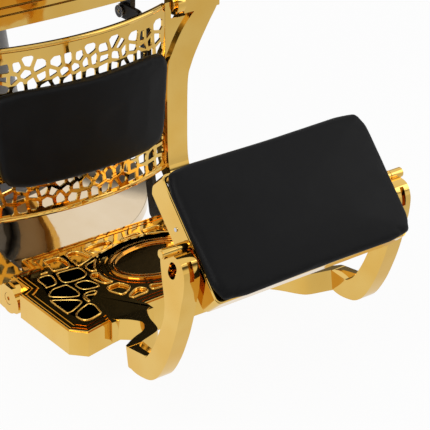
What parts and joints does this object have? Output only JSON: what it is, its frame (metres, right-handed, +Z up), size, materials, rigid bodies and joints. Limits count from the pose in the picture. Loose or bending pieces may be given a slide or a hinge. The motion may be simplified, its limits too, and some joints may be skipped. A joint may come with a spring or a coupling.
{
  "type": "barber chair",
  "caption": "Hydraulic barber chair in polished gold with black pads, reclining back, levelling footplate and flip footrest.",
  "frame": {"origin": "on the floor under the swivel axis, at the centre of the floor pad's lower face", "axes": "+Z up along the swivel axis; the chair faces -Y; +X is the sitter's left side (the viewer's right from the front)"},
  "size_m": [0.6426, 1.3028, 1.161],
  "materials": {
    "polished_gold": "mirror-polished gold plating over cast aluminium",
    "gold_base": "mirror-polished gold plating over a cast iron base",
    "medallion_gold": "polished brass, bare field between raised rings",
    "black_leather": "smooth black leatherette with a soft sheen",
    "black_steel": "satin black paint over steel",
    "grey_casting": "grey hammered enamel over cast iron",
    "bright_steel": "bright zinc and chrome plating",
    "plywood": "plain birch plywood",
    "black_rubber": "matte black rubber",
    "black_plastic": "moulded black plastic"
  },
  "bodies": {
    "base": {"floor_pad": "black_rubber", "base_disc": "gold_base", "pump_housing": "grey_casting", "pump_gland": "polished_gold", "pump_bolts": "bright_steel", "pedal_bracket": "grey_casting"},
    "pedal": {"pump_pedal": "polished_gold", "pedal_pad": "black_rubber"},
    "lift_ram": {"ram": "bright_steel"},
    "seat": {"swivel_hub": "grey_casting", "underseat_plate": "black_steel", "cross_tubes": "black_steel", "seat_side_left": "polished_gold", "seat_side_right": "polished_gold", "seat_apron": "polished_gold", "seat_rear_rail": "polished_gold", "seat_board": "plywood", "seat_cushion": "black_leather", "arm_left": "polished_gold", "arm_right": "polished_gold", "arm_pad_left": "black_leather", "arm_pad_right": "black_leather", "hinge_brackets": "polished_gold", "leg_hinge_pins": "polished_gold", "link_brackets": "black_steel", "link_bolts": "bright_steel", "back_pivot_pins": "polished_gold", "cylinder_bracket": "black_steel", "recline_cylinder": "black_steel", "lever_bolt": "bright_steel"},
    "recline_piston": {"recline_rod": "bright_steel"},
    "lever": {"recline_lever": "polished_gold", "lever_grip": "black_plastic"},
    "leg_rest": {"rail_left": "polished_gold", "rail_right": "polished_gold", "calf_panel": "polished_gold", "calf_pad": "black_leather", "toe_screws": "polished_gold"},
    "links": {"link_left": "black_steel", "link_right": "black_steel"},
    "drive_rod": {"drive_rod": "black_steel"},
    "footplate": {"footplate": "polished_gold", "medallion": "medallion_gold", "link_foot_pins": "bright_steel", "yoke_left": "polished_gold", "yoke_right": "polished_gold"},
    "footrest": {"footrest_tray": "polished_gold", "footrest_cushion": "black_leather", "trunnion_pins": "polished_gold", "tray_screws": "bright_steel"},
    "back": {"back_cross_tube": "black_steel", "back_uprights": "black_steel", "back_shell": "polished_gold", "back_cushion": "black_leather", "headrest_socket": "polished_gold"},
    "headrest_bar": {"headrest_bar": "bright_steel"},
    "headrest": {"headrest_bracket": "polished_gold", "headrest_cushion": "black_leather"},
    "headrest_knob": {"headrest_knob": "black_plastic"}
  },
  "joints": [
    {"name": "lift", "type": "slide", "parent": "base", "child": "lift_ram", "axis": [0, 0, 1], "range_m": [0, 0.14]},
    {"name": "swivel", "type": "hinge", "parent": "lift_ram", "child": "seat", "pos_m": [0, 0, 0.42], "axis": [0, 0, 1], "continuous": true},
    {"name": "recline", "type": "hinge", "parent": "seat", "child": "back", "pos_m": [0, 0.185, 0.52], "axis": [-1, 0, 0], "range_deg": [0, 40]},
    {"name": "leg_swing", "type": "hinge", "parent": "seat", "child": "leg_rest", "pos_m": [0, -0.321, 0.439], "axis": [-1, 0, 0], "range_deg": [0, 40]},
    {"name": "link_swing", "type": "hinge", "parent": "seat", "child": "links", "pos_m": [0, -0.225, 0.405], "axis": [-1, 0, 0], "range_deg": [0, 40]},
    {"name": "rod_level", "type": "hinge", "parent": "back", "child": "drive_rod", "pos_m": [0, 0.185, 0.46], "axis": [-1, 0, 0], "range_deg": [-40, 0]},
    {"name": "footplate_level", "type": "hinge", "parent": "leg_rest", "child": "footplate", "pos_m": [0, -0.482, 0.104], "axis": [-1, 0, 0], "range_deg": [-40, 0]},
    {"name": "footrest_flip", "type": "hinge", "parent": "footplate", "child": "footrest", "pos_m": [0, -0.86, 0.338], "axis": [1, 0, 0], "range_deg": [-48, 132]},
    {"name": "piston_stroke", "type": "slide", "parent": "seat", "child": "recline_piston", "axis": [0, -1, 0], "range_m": [0, 0.04105]},
    {"name": "recline_lever", "type": "hinge", "parent": "seat", "child": "lever", "pos_m": [0.293, -0.06, 0.507], "axis": [-1, 0, 0], "range_deg": [0, 22], "stiffness_Nm_per_rad": 2.5, "springref_deg": -14.32},
    {"name": "pump_pedal", "type": "hinge", "parent": "base", "child": "pedal", "pos_m": [0, 0.124, 0.127], "axis": [-1, 0, 0], "range_deg": [0, 16], "stiffness_Nm_per_rad": 12, "springref_deg": -22.92},
    {"name": "headrest_height", "type": "slide", "parent": "back", "child": "headrest_bar", "axis": [0, 0.2079, 0.9781], "range_m": [0, 0.1]},
    {"name": "headrest_tilt", "type": "hinge", "parent": "headrest_bar", "child": "headrest", "pos_m": [0, 0.3531, 1.09154], "axis": [1, 0, 0], "range_deg": [-25, 15]},
    {"name": "knob_turn", "type": "hinge", "parent": "back", "child": "headrest_knob", "pos_m": [0, 0.32964, 0.92682], "axis": [0, 0.9781, -0.2079], "range_deg": [0, 180]}
  ],
  "couplings": [
    {"joint": "leg_swing", "follows": "recline", "ratio": 1},
    {"joint": "link_swing", "follows": "recline", "ratio": 1},
    {"joint": "rod_level", "follows": "recline", "ratio": -1},
    {"joint": "footplate_level", "follows": "recline", "ratio": -1},
    {"joint": "piston_stroke", "follows": "recline", "m_per_rad": 0.058789}
  ]
}
